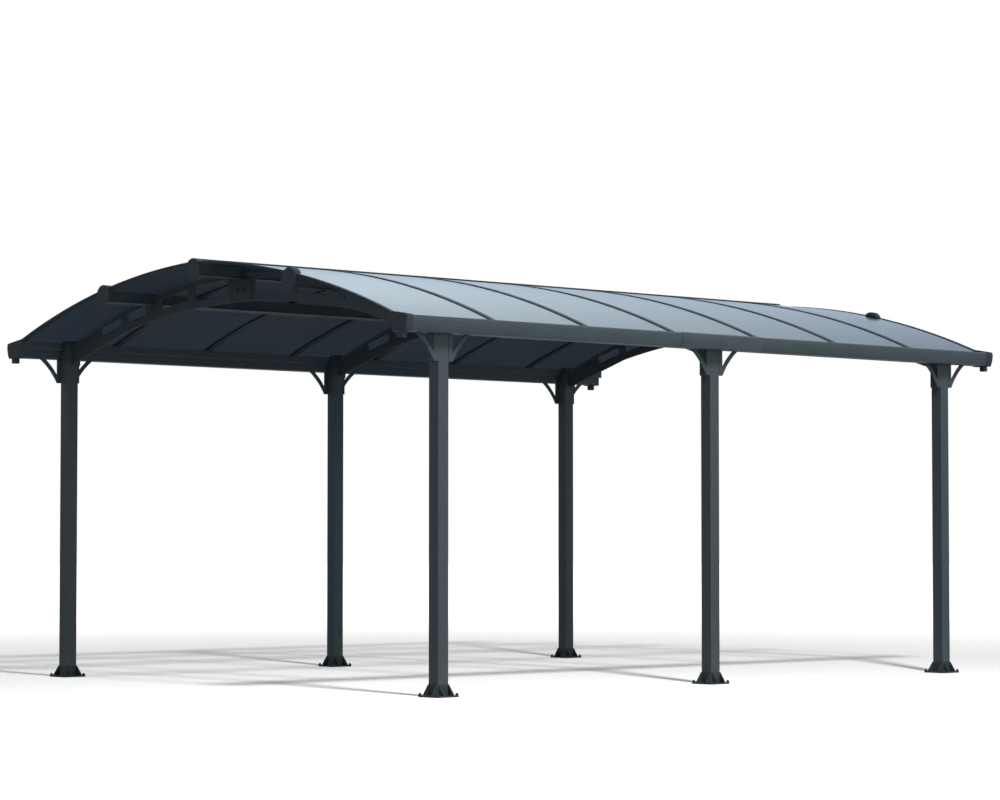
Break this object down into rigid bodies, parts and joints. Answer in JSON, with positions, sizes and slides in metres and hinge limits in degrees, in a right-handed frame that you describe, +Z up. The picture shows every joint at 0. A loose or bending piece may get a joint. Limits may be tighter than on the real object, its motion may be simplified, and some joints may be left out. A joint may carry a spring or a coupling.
{
  "type": "carport",
  "caption": "Open arched carport: a curved roof of tinted sheets on slotted arched trusses, side gutters and braced square posts with bolted feet.",
  "frame": {"origin": "on the floor, under the middle of the roof", "axes": "+Z up, +Y along the ridge towards the right gable, +X across towards the front row of posts"},
  "size_m": [3.6206, 5.02, 2.43],
  "materials": {
    "post_paint": "satin dark grey powder coat",
    "foot_casting": "satin dark grey, fine cast texture",
    "brace_paint": "satin dark grey powder coat",
    "head_casting": "satin dark grey, cast",
    "gutter_paint": "satin dark grey powder coat",
    "cover_paint": "satin dark grey powder coat",
    "cap_plastic": "moulded dark grey plastic, fine grain",
    "beam_paint": "satin dark grey powder coat",
    "truss_paint": "satin dark grey powder coat",
    "plate_paint": "satin dark grey powder coat",
    "trim_paint": "satin dark grey powder coat",
    "roof_sheet": "blue-grey tinted twin-wall sheet, smooth, soft sheen"
  },
  "bodies": {
    "root": {"front_post_left": "post_paint", "front_post_middle": "post_paint", "front_post_right": "post_paint", "back_post_left": "post_paint", "back_post_middle": "post_paint", "back_post_right": "post_paint", "front_foot_left": "foot_casting", "front_foot_middle": "foot_casting", "front_foot_right": "foot_casting", "back_foot_left": "foot_casting", "back_foot_middle": "foot_casting", "back_foot_right": "foot_casting", "front_braces": "brace_paint", "back_braces": "brace_paint", "front_post_heads": "head_casting", "back_post_heads": "head_casting", "front_gutter": "gutter_paint", "back_gutter": "gutter_paint", "gutter_covers": "cover_paint", "front_gutter_cap_left": "cap_plastic", "front_gutter_cap_right": "cap_plastic", "back_gutter_cap_left": "cap_plastic", "back_gutter_cap_right": "cap_plastic", "front_roof_beam": "beam_paint", "ridge_beam": "beam_paint", "back_roof_beam": "beam_paint", "beam_end_caps": "cap_plastic", "truss_left": "truss_paint", "truss_middle": "truss_paint", "truss_right": "truss_paint", "truss_splice_plates": "plate_paint", "roof_bay_1": "roof_sheet", "roof_bay_2": "roof_sheet", "roof_bay_3": "roof_sheet", "roof_bay_4": "roof_sheet", "roof_bay_5": "roof_sheet", "roof_bay_6": "roof_sheet", "roof_bay_7": "roof_sheet", "roof_joints": "trim_paint", "gable_trim_left": "trim_paint", "gable_trim_right": "trim_paint", "ridge_cover": "trim_paint"}
  },
  "joints": []
}
